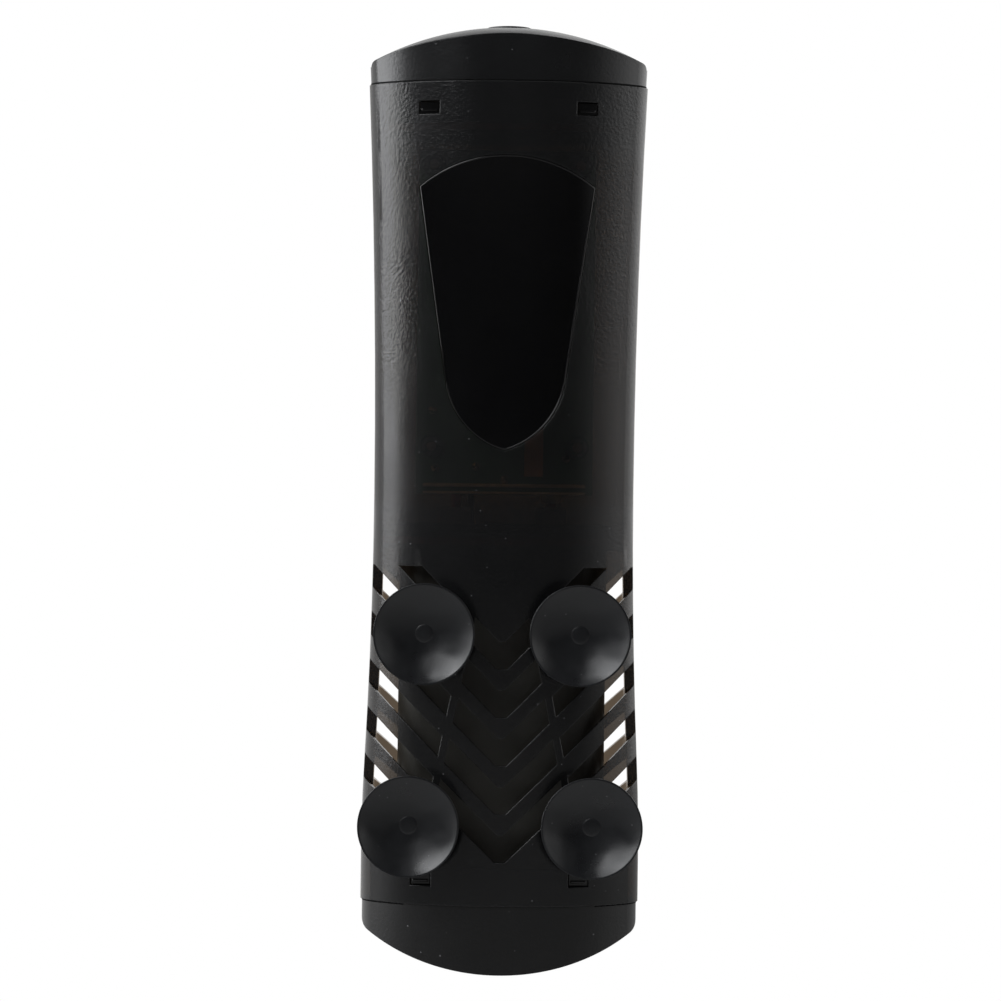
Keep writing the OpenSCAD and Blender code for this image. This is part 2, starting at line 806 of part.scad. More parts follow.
module bottom_cap() {
    side = lower_half(bottom_seam_z) - cap_step - arch_slack;
    rest_t = 1.6;
    color([0.10, 0.10, 0.11]) {
        difference() {
            intersection() {
                full_shell(cap_step, 0, bottom_z - over, bottom_seam_z);
                arch(bottom_z, -1, bottom_arch_r, bottom_depth_r, bottom_corner_r, side, 0);
            }
            intersection() {
                full_shell(cap_step + wall, 0, bottom_z, bottom_seam_z + over);
                arch(bottom_z, -1, bottom_arch_r, bottom_depth_r, wall + bottom_corner_r, side, wall);
            }
        }
        full_shell(spigot_out, spigot_in, bottom_seam_z - spigot_root, bottom_seam_z + bottom_spigot_h);
        snap_tongues(bottom_seam_z + snap_drop);
        // two ribs that the core stands on
        for (x = [-1, 1])
            intersection() {
                translate([x * core_w / 4 - rest_t / 2, core_front_y, bottom_z])
                    cube([rest_t, core_d, core_foot_z - bottom_z - fit]);
                arch(bottom_z, -1, bottom_arch_r, bottom_depth_r, bottom_corner_r, side, 1);
            }
    }
}

module rear_label() {
    color([0.05, 0.05, 0.06])
        shield_skin(1, shield_sink, label_recess - glue, -shield_gap);
}

module display_lens() {
    color([0.03, 0.03, 0.04])
        difference() {
            shield_skin(-1, shield_sink, lens_recess - glue, -shield_gap);
            for (x = [-1, 1])
                translate([x * button_pitch / 2, 0, button_z])
                    rod_y(button_d / 2 + button_gap, mid_y - body_depth, mid_y);
        }
}

// ---- suction cups ----

module cup(place) {
    lip_r = cup_r - cup_lip / 2;
    dish_r = (pow(lip_r, 2) + pow(cup_hollow, 2)) / (2 * cup_hollow);
    shoulder_r = neck_r + 1.1;
    color([0.06, 0.06, 0.07])
        translate([place[0], 0, place[1]])
            rotate([90, 0, 0])
                rotate_extrude() {
                    difference() {
                        polygon([[0, 0], [cup_r, 0], [cup_r, cup_lip], [cup_r * 0.7, cup_hollow - 0.6],
                                 [shoulder_r + 0.4, cup_hollow + 1.4], [shoulder_r, cup_back], [0, cup_back]]);
                        translate([0, cup_hollow - dish_r])
                            circle(r = dish_r, $fn = sweep_fn);
                    }
                    translate([0, cup_back])
                        square([neck_r, cup_button_z - cup_back]);
                    translate([0, cup_button_z])
                        square([cup_button_d / 2, cup_button_t]);
                }
}

module upper_left_cup() cup(cup_places[0]);
module upper_right_cup() cup(cup_places[1]);
module lower_left_cup() cup(cup_places[2]);
module lower_right_cup() cup(cup_places[3]);

// ---- buttons and display ----

module button(x) {
    color([0.75, 0.76, 0.78])
        translate([x, 0, button_z]) {
            rod_y(button_d / 2, button_face_y, button_back_y);
            rod_y(stem_d / 2, button_back_y - glue, stem_end_y);
        }
}

module plunger(x) {
    color([0.15, 0.15, 0.15])
        translate([x, 0, button_z])
            rod_y(plunger_d / 2, stem_end_y, switch_face_y + plunger_grip);
}

module up_button() button(button_pitch / 2);
module down_button() button(-button_pitch / 2);
module up_plunger() plunger(button_pitch / 2);
module down_plunger() plunger(-button_pitch / 2);

module button_seals() {
    color([0.55, 0.20, 0.12])
        for (x = [-1, 1])
            translate([x * button_pitch / 2, 0, button_z])
                difference() {
                    rod_y(stem_seal_d / 2, guide_y, guide_y + stem_seal_t);
                    rod_y(stem_d / 2 + button_gap, guide_y - over, guide_y + stem_seal_t + over);
                }
}

module switch_bases() {
    color([0.2, 0.2, 0.22])
        for (x = [-1, 1])
            translate([x * button_pitch / 2, 0, button_z])
                difference() {
                    translate([-switch_w / 2, switch_face_y, -switch_w / 2])
                        cube([switch_w, switch_h, switch_w]);
                    rod_y(plunger_d / 2 + button_gap, switch_face_y - over,
                          switch_face_y + plunger_grip + button_travel + fit);
                }
}

module display_board() {
    color([0.05, 0.30, 0.16])
        translate([-display_board_w / 2, display_board_front_y, display_board_foot_z])
            cube([display_board_w, display_board_t, display_board_top_z - display_board_foot_z]);
}

module led_display() {
    color([0.10, 0.10, 0.10])
        translate([-display_w / 2, display_face_y, display_z - display_h / 2])
            cube([display_w, display_board_front_y - display_face_y, display_h]);
}

module board_header() {
    color([0.9, 0.88, 0.8])
        translate([-header_w / 2, display_board_back_y, header_z - header_t / 2])
            cube([header_w, board_front_y - display_board_back_y, header_t]);
}

// ---- circuit board ----

module circuit_board() {
    color([0.05, 0.30, 0.16])
        difference() {
            translate([-board_w / 2, board_front_y, board_z])
                cube([board_w, board_t, board_len]);
            for (p = screw_places)
                translate([p[0], 0, p[1]])
                    rod_y(screw_d / 2 + fit, board_front_y - over, board_back_y + over);
        }
}

module board_screws() {
    color([0.75, 0.76, 0.78])
        for (p = screw_places)
            translate([p[0], 0, p[1]]) {
                rod_y(screw_head_d / 2, board_front_y - screw_head_h, board_front_y);
                rod_y(screw_d / 2, board_front_y - glue, board_back_y + screw_bite);
            }
}

module relay_block() {
    color([0.10, 0.20, 0.45])
        translate([relay_x - relay_w / 2, board_front_y - relay_h, parts_z - relay_len / 2])
            cube([relay_w, relay_h, relay_len]);
}

module smoothing_capacitor() {
    color([0.12, 0.14, 0.25])
        translate([smoother_x, 0, parts_z])
            rod_y(smoother_d / 2, board_front_y - smoother_h, board_front_y);
}

module film_capacitor() {
    color([0.62, 0.46, 0.30])
        translate([film_x - film_w / 2, board_back_y, film_z - film_len / 2])
            cube([film_w, film_h, film_len]);
}

module controller_chip() {
    color([0.1, 0.1, 0.1])
        translate([-chip_w / 2, board_front_y - chip_h, chip_z - chip_len / 2])
            cube([chip_w, chip_h, chip_len]);
}

module solder_joints() {
    color([0.85, 0.72, 0.45])
        for (p = concat(terminal_joints, pin_joints))
            translate([p[0], board_back_y, p[1]])
                rotate([-90, 0, 0])
                    cylinder(r1 = joint_r, r2 = joint_r / 3, h = solder_h);
}

// ---- bulkhead and seals ----

module bulkhead() {
    seal_low = bulkhead_z + (bulkhead_t - seal_h) / 2;
    color([0.20, 0.20, 0.21])
        difference() {
            full_shell(wall + fit, 0, bulkhead_z, bulkhead_top_z);
            full_shell(wall / 2, seal_floor, seal_low, seal_low + seal_h);
            translate([0, mid_y, bulkhead_z - over])
                linear_extrude(bulkhead_t + 2 * over)
                    rounded_rect(core_w + 2 * fit, core_d + 2 * fit, core_edge_r);
            translate([probe_x, probe_y, bulkhead_z - over])
                cylinder(d = probe_d + 2 * glue, h = bulkhead_t + 2 * over);
        }
}

module bulkhead_seal() {
    seal_low = bulkhead_z + (bulkhead_t - seal_h) / 2 + glue;
    color([0.55, 0.20, 0.12])
        full_shell(wall + glue, seal_floor - glue, seal_low, seal_low + seal_h - 2 * glue);
}

module top_seal() {
    seal_low = top_seam_z - top_spigot_h + seal_shelf + glue;
    color([0.55, 0.20, 0.12])
        full_shell(wall + glue, spigot_out + seal_bite - glue, seal_low, seal_low + seal_h - 2 * glue);
}

module cable_gland() {
    color([0.06, 0.06, 0.07])
        translate([0, mid_y, 0])
            difference() {
                union() {
                    translate([0, 0, gland_top_z - gland_len])
                        cylinder(r = gland_r, h = gland_len);
                    translate([0, 0, collar_z])
                        cylinder(r = collar_r, h = gland_top_z - collar_z);
                    translate([0, 0, inner_collar_z - gland_collar_t])
                        cylinder(r = collar_r, h = gland_collar_t);
                }
                translate([0, 0, gland_top_z - gland_len - over])
                    cylinder(d = cable_d, h = gland_len + 2 * over);
            }
}

// ---- heating core ----

module core_case() {
    color([0.13, 0.13, 0.12])
        translate([0, mid_y, 0])
            difference() {
                union() {
                    translate([0, 0, core_foot_z])
                        linear_extrude(core_top_z - core_foot_z)
                            rounded_rect(core_w, core_d, core_edge_r);
                    translate([0, 0, bulkhead_top_z])
                        linear_extrude(core_flange_t)
                            rounded_rect(core_w + 2 * core_flange, core_d + 2 * core_flange,
                                         core_edge_r + core_flange);
                }
                translate([0, 0, core_foot_z + core_wall])
                    linear_extrude(far)
                        rounded_rect(core_w - 2 * core_wall, core_d - 2 * core_wall, core_edge_r - core_wall / 2);
            }
}

module core_sleeve() {
    color([0.75, 0.62, 0.25])
        translate([0, mid_y, pack_foot_z])
            linear_extrude(potting_z - pack_foot_z)
                difference() {
                    square([sleeve_w - edge_cut, sleeve_d], center = true);
                    square([sleeve_w - edge_cut - 2 * sleeve_t, sleeve_d - 2 * sleeve_t], center = true);
                }
}

module heat_spreaders() {
    color([0.75, 0.76, 0.78])
        for (side = [-1, 1])
            translate([-(pack_w - edge_cut) / 2,
                       mid_y + side * (stone_t / 2 + electrode_t + spreader_t / 2) - spreader_t / 2, pack_foot_z])
                cube([pack_w - edge_cut, spreader_t, pack_top_z - pack_foot_z]);
}

module electrodes() {
    color([0.80, 0.55, 0.30])
        for (side = [-1, 1])
            translate([0, mid_y + side * electrode_y - electrode_t / 2, 0]) {
                translate([-stone_w / 2, 0, pack_foot_z])
                    cube([stone_w, electrode_t, pack_top_z - pack_foot_z]);
                translate([side * tab_x - tab_w / 2, 0, pack_foot_z])
                    cube([tab_w, electrode_t, tab_top_z - pack_foot_z]);
            }
}

module heating_stones() {
    color([0.35, 0.33, 0.32])
        for (i = [0:stone_count - 1])
            translate([-stone_w / 2, mid_y - stone_t / 2,
                       pack_foot_z + (i + 0.5) * stone_pitch - stone_len / 2])
                cube([stone_w, stone_t, stone_len]);
}

module core_potting() {
    color([0.12, 0.12, 0.12])
        difference() {
            translate([0, mid_y, potting_z])
                linear_extrude(core_top_z - potting_z - fit)
                    rounded_rect(sleeve_w, sleeve_d, core_edge_r - core_wall / 2);
            for (side = [-1, 1])
                translate([side * tab_x - tab_w / 2 - glue, mid_y + side * electrode_y - electrode_t / 2 - glue,
                           potting_z - over])
                    cube([tab_w + 2 * glue, electrode_t + 2 * glue, core_top_z]);
        }
}

// ---- leads and probe ----

// A wire that rises from z_low, bends towards the board and ends on its face
module lead(x, y, d, z_low, z_end) {
    translate([x, y, z_low])
        cylinder(d = d, h = z_end - lead_bend_r - z_low);
    translate([x, y + lead_bend_r, z_end - lead_bend_r])
        rotate([0, -90, 0])
            rotate([0, 0, -90])
                rotate_extrude(angle = 90)
                    translate([lead_bend_r, 0])
                        circle(d = d);
    translate([x, 0, z_end])
        rod_y(d / 2, y + lead_bend_r, board_front_y);
}

module heater_leads() {
    color([0.75, 0.15, 0.12])
        for (side = [-1, 1])
            lead(side * tab_x, mid_y + side * electrode_y, lead_d, tab_top_z, lead_end_z);
}

module thermal_fuse() {
    color([0.85, 0.82, 0.75])
        translate([-tab_x, mid_y - electrode_y, tab_top_z + 1])
            difference() {
                cylinder(d = fuse_d, h = fuse_len);
                translate([0, 0, -over])
                    cylinder(d = lead_d + 2 * glue, h = fuse_len + 2 * over);
            }
}

module temperature_probe() {
    color([0.70, 0.71, 0.73])
        translate([probe_x, probe_y, bulkhead_z - probe_len]) {
            sphere(d = probe_d);
            cylinder(d = probe_d, h = probe_len + bulkhead_t - fit);
        }
}

module sensor_lead() {
    color([0.1, 0.1, 0.1])
        lead(probe_x, probe_y, sensor_lead_d, bulkhead_top_z - fit, sensor_end_z);
}

rear_cover();
front_cover();
top_cap();
bottom_cap();
rear_label();
display_lens();
upper_left_cup();
upper_right_cup();
lower_left_cup();
lower_right_cup();
up_button();
down_button();
up_plunger();
down_plunger();
button_seals();
switch_bases();
display_board();
led_display();
board_header();
circuit_board();
board_screws();
relay_block();
smoothing_capacitor();
film_capacitor();
controller_chip();
solder_joints();
bulkhead();
bulkhead_seal();
top_seal();
cable_gland();
core_case();
core_sleeve();
heat_spreaders();
electrodes();
heating_stones();
core_potting();
heater_leads();
thermal_fuse();
temperature_probe();
sensor_lead();
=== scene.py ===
"""Submersible aquarium heater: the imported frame, dressed with materials and fine pieces."""

import json
import math

import bmesh
import bpy
from mathutils import Matrix, Vector


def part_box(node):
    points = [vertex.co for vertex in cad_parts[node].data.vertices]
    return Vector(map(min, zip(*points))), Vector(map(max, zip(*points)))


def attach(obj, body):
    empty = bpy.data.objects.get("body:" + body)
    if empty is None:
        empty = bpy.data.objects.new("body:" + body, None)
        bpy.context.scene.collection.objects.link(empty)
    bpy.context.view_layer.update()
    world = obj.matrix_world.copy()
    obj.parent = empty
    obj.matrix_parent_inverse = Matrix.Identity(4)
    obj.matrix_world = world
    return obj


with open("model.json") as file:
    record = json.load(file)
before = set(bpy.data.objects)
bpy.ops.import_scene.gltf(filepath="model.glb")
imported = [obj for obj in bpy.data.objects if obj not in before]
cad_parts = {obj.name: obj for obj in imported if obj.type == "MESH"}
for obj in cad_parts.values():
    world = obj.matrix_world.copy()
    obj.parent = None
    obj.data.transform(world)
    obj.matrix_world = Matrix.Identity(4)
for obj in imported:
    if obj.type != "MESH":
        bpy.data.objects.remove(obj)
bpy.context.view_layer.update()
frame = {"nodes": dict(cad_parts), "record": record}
nodes = frame["nodes"]
scene = bpy.context.scene
scene.view_settings.view_transform = "Standard"

MM = 0.001

# ---- sizes shared with the solids, in millimetres ----

# The middle of the case, then the middle of each cup as (x, z), the cups' width and their hollow's depth.
MID_Y = -19.0
CUPS = {"upper_left": (16.1, 19.8), "upper_right": (-16.1, 19.8),
        "lower_left": (18.9, -19.8), "lower_right": (-18.9, -19.8)}
CUP_D = 20.9
CUP_HOLLOW = 3.2
# The joints of the two caps, and the snap windows: out from the middle, in from the joint, and their floor.
TOP_SEAM_Z = 134.2
BOTTOM_SEAM_Z = -36.7
SNAP_X = 16.4
SNAP_DROP = 5.4
SNAP_FACE_Y = -8.31
# The keys and the display on the front.
KEY_X = 6.4
KEY_Z = 79.0
KEY_FACE_Y = -33.6
DISPLAY_Z = 97.0

# ---- sizes of the fine pieces, in millimetres ----

# The land in a cup's hollow, as (radius, height over the hollow's floor).
LAND = ((0.0, 0.19), (1.3, 0.19), (1.6, 0.17), (1.9, 0.10), (2.3, -0.08), (0.0, -0.08))
# The bead round a cup's lip, painted paler than the cup as a painted highlight line.
LIP_INSET = 0.16
LIP_BEAD_R = 0.14
LIP_SUNK = 0.01
LIP_POINTS = 10
# The bead that frames the label.
RIM_W = 0.38
RIM_H = 0.17
RIM_ROUND = 0.136
# The painted shadow strips in the joints between the caps and the case: where they start past the joint, how
# wide they are, and their thickness.
SEAM_OFF = 0.02
TOP_SEAM_W = 0.36
BOTTOM_SEAM_W = 0.30
SEAM_T = 0.06
# The catch's plate and bar, and the board's terminal strips, as (x, y, z) sizes.
CATCH_PLATE = (3.9, 0.16, 2.4)
CATCH_BAR = (3.3, 0.40, 0.6)
CATCH_BAR_DROP = 0.45
RAIL_FOOT = (34.0, 0.6, 0.5)
RAIL_HEAD = (34.0, 0.6, 0.7)
# The arrow heads on the keys, and the display's digits: their spacing, half sizes, bars and lean.
MARK_HALF_W = 1.45
MARK_HALF_H = 1.15
DIGIT_STEP = 6.6
DIGIT_HALF_W = 2.0
DIGIT_HALF_H = 3.7
DIGIT_BAR = 0.42
DIGIT_LEAN = 0.12

# ---- the studio, in metres ----

FLOOR_Z = -0.26
FLOOR_R = 1.1
MIDDLE = (0.0, MID_Y * MM, 0.05)
CAMERA_PLACE = (0.0008, MID_Y * MM + 0.7, 0.0568)
CAMERA_ROLL = 0.70

WHITE = (1.0, 1.0, 1.0, 1.0)


# ---- camera ----


def add_camera():
    """A long lens behind the object, level with its middle and rolled by a few tenths of a degree."""
    data = bpy.data.cameras.new("camera")
    data.sensor_width = 36.0
    data.lens = 119.3
    data.shift_y = -0.0455
    data.clip_start = 0.01
    data.clip_end = 20.0
    camera = bpy.data.objects.new("camera", data)
    scene.collection.objects.link(camera)
    turn = Matrix.Rotation(math.pi, 4, "Z") @ Matrix.Rotation(math.pi / 2, 4, "X")
    roll = Matrix.Rotation(math.radians(CAMERA_ROLL), 4, "Z")
    camera.matrix_world = Matrix.Translation(CAMERA_PLACE) @ turn @ roll
    scene.camera = camera


# ---- node helpers ----


def put(tree, kind, sockets=None, **settings):
    """A new node with its settings, and a value or a linked output for each socket that sockets names."""
    node = tree.nodes.new(kind)
    for name, value in settings.items():
        setattr(node, name, value)
    for name, value in (sockets or {}).items():
        if isinstance(value, bpy.types.NodeSocket):
            tree.links.new(value, node.inputs[name])
        else:
            node.inputs[name].default_value = value
    return node


def join(tree, operation, first, *others):
    """The values joined one after the other by a Math operation."""
    total = first
    for value in others:
        total = put(tree, "ShaderNodeMath", {0: total, 1: value}, operation=operation).outputs[0]
    return total


def span(tree, value, start, end, level_start=0.0, level_end=1.0, shape="LINEAR"):
    """Turns a value between start and end into one between two levels, which it doesn't pass."""
    sockets = {"Value": value, "From Min": start, "From Max": end, "To Min": level_start, "To Max": level_end}
    return put(tree, "ShaderNodeMapRange", sockets, interpolation_type=shape).outputs["Result"]


def zone(tree, low, high, level_low, level_high, shape="SMOOTHSTEP"):
    """A value that runs from one level to the other between two heights in mm on the piece."""
    place = put(tree, "ShaderNodeTexCoord").outputs["Object"]
    height = put(tree, "ShaderNodeSeparateXYZ", {0: place}).outputs["Z"]
    return span(tree, height, low * MM, high * MM, level_low, level_high, shape)


def mix_colours(tree, share, first, second):
    sockets = {"Factor": share, "A": first, "B": second}
    return put(tree, "ShaderNodeMix", sockets, data_type="RGBA").outputs["Result"]


def mix_shaders(tree, share, first, second):
    return put(tree, "ShaderNodeMixShader", {0: share, 1: first, 2: second}).outputs[0]


def relief(tree, height, depth, under):
    """Normals with a height pressed into them to a depth in mm, over other normals if there are any."""
    sockets = {"Strength": 1.0, "Distance": depth * MM, "Height": height}
    if under is not None:
        sockets["Normal"] = under
    return put(tree, "ShaderNodeBump", sockets).outputs["Normal"]


def new_material(name):
    """A material, its node tree and its Principled BSDF."""
    material = bpy.data.materials.new(name)
    material.use_nodes = True
    return material, material.node_tree, material.node_tree.nodes["Principled BSDF"]


# ---- studio ----


def add_world():
    """White behind the object for the camera, and a soft studio round it for all other light.

    The studio's level follows the direction: dark on the side that the cups face, a pale table
    below, a dim ceiling, and walls that grow brighter towards both sides.
    """
    world = bpy.data.worlds.new("studio")
    world.use_nodes = True
    tree = world.node_tree
    tree.nodes.clear()
    way = put(tree, "ShaderNodeSeparateXYZ", {0: put(tree, "ShaderNodeTexCoord").outputs["Generated"]})

    def ramp(axis, start, end, level_start, level_end):
        return span(tree, way.outputs[axis], start, end, level_start, level_end, "SMOOTHSTEP")

    table = ramp("Z", -0.03, -0.12, 0.010, 0.29)
    ceiling = ramp("Z", 0.03, 0.16, 0.0, 0.09)
    right_wall = join(tree, "MULTIPLY", ramp("X", 0.1, -0.1, 0.0, 1.0), ramp("Y", 0.80, -0.10, 0.0, 2.0),
                      ramp("Z", -0.09, 0.02, 0.06, 1.0), ramp("Z", 0.75, 0.35, 0.0, 1.0),
                      ramp("Y", -0.35, -0.95, 1.0, 0.45))
    left_wall = join(tree, "MULTIPLY", ramp("X", -0.1, 0.1, 0.0, 1.0), ramp("Y", 0.65, -0.10, 0.0, 1.1),
                     ramp("Z", 0.75, 0.35, 0.0, 1.0), ramp("Z", -0.5, -0.2, 0.0, 1.0),
                     ramp("Y", -0.35, -0.95, 1.0, 0.55))
    back_wall = join(tree, "MULTIPLY", ramp("Y", -0.10, -0.45, 0.0, 0.13), ramp("Z", 0.35, 0.05, 0.12, 1.0),
                     ramp("Z", -0.25, -0.02, 0.10, 1.0))
    level = join(tree, "ADD", table, ceiling, right_wall, left_wall, back_wall)
    studio = put(tree, "ShaderNodeBackground", {"Color": WHITE, "Strength": level}).outputs[0]
    white = put(tree, "ShaderNodeBackground", {"Color": WHITE, "Strength": 1.0}).outputs[0]
    seen = put(tree, "ShaderNodeLightPath").outputs["Is Camera Ray"]
    put(tree, "ShaderNodeOutputWorld", {"Surface": mix_shaders(tree, seen, studio, white)})
    scene.world = world


def pale_floor():
    """Matt and pale, clear beyond its reach and from below, and faint in glossy reflections."""
    material, tree, paint = new_material("pale_floor")
    paint.inputs["Base Color"].default_value = (0.9, 0.9, 0.9, 1.0)
    paint.inputs["Roughness"].default_value = 0.9
    paint.inputs["Specular IOR Level"].default_value = 0.1
    place = put(tree, "ShaderNodeTexCoord").outputs["Object"]
    flat = put(tree, "ShaderNodeVectorMath", {0: place, 1: (1.0, 1.0, 0.0)}, operation="MULTIPLY")
    reach = put(tree, "ShaderNodeVectorMath", {0: flat.outputs[0]}, operation="LENGTH").outputs["Value"]
    fade = span(tree, reach, 0.25 * FLOOR_R, 0.97 * FLOOR_R, shape="SMOOTHSTEP")
    in_gloss = put(tree, "ShaderNodeLightPath").outputs["Is Glossy Ray"]
    calm = put(tree, "ShaderNodeMath", {0: in_gloss, 1: 0.7, 2: fade},
               operation="MULTIPLY_ADD", use_clamp=True).outputs[0]
    from_below = put(tree, "ShaderNodeNewGeometry").outputs["Backfacing"]
    clear = put(tree, "ShaderNodeBsdfTransparent").outputs[0]
    surface = mix_shaders(tree, join(tree, "MAXIMUM", calm, from_below), paint.outputs[0], clear)
    tree.links.new(surface, tree.nodes["Material Output"].inputs["Surface"])
    return material


def add_floor():
    mesh = bpy.data.meshes.new("floor")
    bm = bmesh.new()
    bmesh.ops.create_circle(bm, cap_ends=True, segments=64, radius=FLOOR_R)
    bmesh.ops.translate(bm, verts=bm.verts, vec=(0.0, 0.0, FLOOR_Z))
    bm.to_mesh(mesh)
    bm.free()
    mesh.materials.append(pale_floor())
    floor = bpy.data.objects.new("floor", mesh)
    scene.collection.objects.link(floor)


def add_softbox(name, place, aim, size, level, lean=0.0):
    """A rectangular lamp that glows at a level where 1 is white, turned in its plane by lean degrees."""
    data = bpy.data.lights.new(name, "AREA")
    data.shape = "RECTANGLE"
    data.size, data.size_y = size
    data.energy = level * math.pi * size[0] * size[1]
    data.color = (0.965, 0.98, 1.0)
    lamp = bpy.data.objects.new(name, data)
    scene.collection.objects.link(lamp)
    aimed = (Vector(aim) - Vector(place)).to_track_quat("-Z", "Y").to_matrix().to_4x4()
    lamp.matrix_world = Matrix.Translation(place) @ aimed @ Matrix.Rotation(math.radians(lean), 4, "Z")


add_camera()
add_world()
add_floor()
add_softbox("left_box", (0.96, 0.27, 0.63), (0.0, MID_Y * MM, 0.60), (0.48, 1.2), 6.2, lean=-20.0)
add_softbox("cup_box", (0.64, 0.74, 0.82), MIDDLE, (0.75, 0.75), 4.4)
add_softbox("floor_box", (0.0, -0.25, 1.5), (0.0, -0.2, 0.0), (1.2, 1.2), 1.2)


# ---- materials ----


LOW_GRAIN = 0.3
GRAIN_RISE = 25.0
DUST_COLOUR = (0.10, 0.10, 0.105, 1.0)
# Where a speck fades out and where it is whole, as shares of the distance between specks.
SPECK_EDGE = 0.055
SPECK_CORE = 0.025


def new_group(name, given, made):
    """A node group with number sockets: its tree, what it is given and what it has made."""
    tree = bpy.data.node_groups.new(name, "ShaderNodeTree")
    for way, sockets in (("INPUT", given), ("OUTPUT", made)):
        for socket in sockets:
            tree.interface.new_socket(socket, in_out=way, socket_type="NodeSocketFloat")
    return tree, tree.nodes.new("NodeGroupInput").outputs, tree.nodes.new("NodeGroupOutput").inputs


def grain_group():
    """Moulded texture: a fine height, a mask of soft patches, and a smoother height for broad hollows."""
    tree, given, made = new_group("moulded_grain", ("Grain Size", "Patch Size"),
                                  ("Height", "Patches", "Hollows"))
    place = put(tree, "ShaderNodeTexCoord").outputs["Object"]

    def noise(size, detail, roughness):
        scale = join(tree, "DIVIDE", 1.0, given[size])
        sockets = {"Vector": place, "Scale": scale, "Detail": detail, "Roughness": roughness}
        return put(tree, "ShaderNodeTexNoise", sockets).outputs["Fac"]

    tree.links.new(noise("Grain Size", 3.0, 0.55), made["Height"])
    tree.links.new(span(tree, noise("Patch Size", 4.0, 0.6), 0.3, 0.7), made["Patches"])
    tree.links.new(noise("Patch Size", 0.8, 0.5), made["Hollows"])
    return tree


def dust_group():
    """A few specks, far apart: the mask is 1 on a speck and 0 between them."""
    tree, given, made = new_group("dust_specks", ("Spacing",), ("Mask",))
    place = put(tree, "ShaderNodeTexCoord").outputs["Object"]
    scale = join(tree, "DIVIDE", 1.0, given["Spacing"])
    cells = put(tree, "ShaderNodeTexVoronoi", {"Vector": place, "Scale": scale})
    tree.links.new(span(tree, cells.outputs["Distance"], SPECK_EDGE, SPECK_CORE), made["Mask"])
    return tree


GRAIN = grain_group()
DUST = dust_group()


def moulded(name, colour, second, rough, grain, bump, patch, metallic=0.0, specular=0.5, edge=0.0,
            coarse_above=None, dents=0.0, dust=0.0):
    """A finish with two close colours in soft patches, a gloss range and a fine grain.

    colour and second are linear colours, and rough is the least and the most roughness. The other
    sizes are in mm: grain and patch are how large each is, bump is the depth of the grain, edge the
    radius to which sharp edges are worn, dents the depth of soft hollows as large as a patch, and
    dust the distance between specks. Where coarse_above is a height, the grain keeps a share LOW_GRAIN
    of its depth below it and has all of it GRAIN_RISE higher.
    """
    material, tree, body = new_material(name)
    texture = put(tree, "ShaderNodeGroup", {"Grain Size": grain * MM, "Patch Size": patch * MM},
                  node_tree=GRAIN).outputs
    paint = mix_colours(tree, texture["Patches"], (*colour, 1.0), (*second, 1.0))
    if dust:
        specks = put(tree, "ShaderNodeGroup", {"Spacing": dust * MM}, node_tree=DUST)
        paint = mix_colours(tree, specks.outputs["Mask"], paint, DUST_COLOUR)
    height = texture["Height"]
    if coarse_above:
        height = join(tree, "MULTIPLY", height,
                      zone(tree, coarse_above, coarse_above + GRAIN_RISE, LOW_GRAIN, 1.0))
    normal = None
    if edge:
        normal = put(tree, "ShaderNodeBevel", {"Radius": edge * MM}, samples=4).outputs["Normal"]
    if dents:
        normal = relief(tree, texture["Hollows"], dents, normal)
    tree.links.new(paint, body.inputs["Base Color"])
    tree.links.new(span(tree, texture["Patches"], 0.0, 1.0, *rough), body.inputs["Roughness"])
    tree.links.new(relief(tree, height, bump, normal), body.inputs["Normal"])
    body.inputs["Metallic"].default_value = metallic
    body.inputs["Specular IOR Level"].default_value = specular
    return material


def let_light_through(material, stops, tint):
    """Makes a wall clear from its inner side, and from outside in the share that stops gives for a height.

    stops are (height in mm, share), from the foot up, and tint colours what shows through.
    """
    tree = material.node_tree
    foot, head = stops[0][0], stops[-1][0]
    shares = put(tree, "ShaderNodeValToRGB", {"Fac": zone(tree, foot, head, 0.0, 1.0, "LINEAR")})
    elements = shares.color_ramp.elements
    while len(elements) < len(stops):
        elements.new(1.0)
    for element, (height, share) in zip(elements, stops):
        element.position = (height - foot) / (head - foot)
        element.color = (share, share, share, 1.0)
    plastic = tree.nodes["Principled BSDF"].outputs[0]
    smoke = put(tree, "ShaderNodeBsdfTransparent", {"Color": (*tint, 1.0)}).outputs[0]
    outer = mix_shaders(tree, shares.outputs["Color"], plastic, smoke)
    inner = put(tree, "ShaderNodeBsdfTransparent").outputs[0]
    from_inside = put(tree, "ShaderNodeNewGeometry").outputs["Backfacing"]
    surface = mix_shaders(tree, from_inside, outer, inner)
    tree.links.new(surface, tree.nodes["Material Output"].inputs["Surface"])
    return material


def smoked_wall(name, stops):
    """The case's satin smoked plastic, with a leathery grain over the head."""
    plastic = moulded(name, (0.0028, 0.0030, 0.0034), (0.0040, 0.0041, 0.0044), (0.19, 0.25),
                      0.62, 0.075, 22.0, edge=0.3, coarse_above=60.0, dust=3.0)
    return let_light_through(plastic, stops, (0.98, 0.74, 0.52))


def glossy_skin(name):
    """The plain black gloss of the bare label and the lens."""
    return moulded(name, (0.0022, 0.0022, 0.0024), (0.0028, 0.0028, 0.0030), (0.08, 0.13),
                   0.9, 0.002, 25.0, edge=0.1)


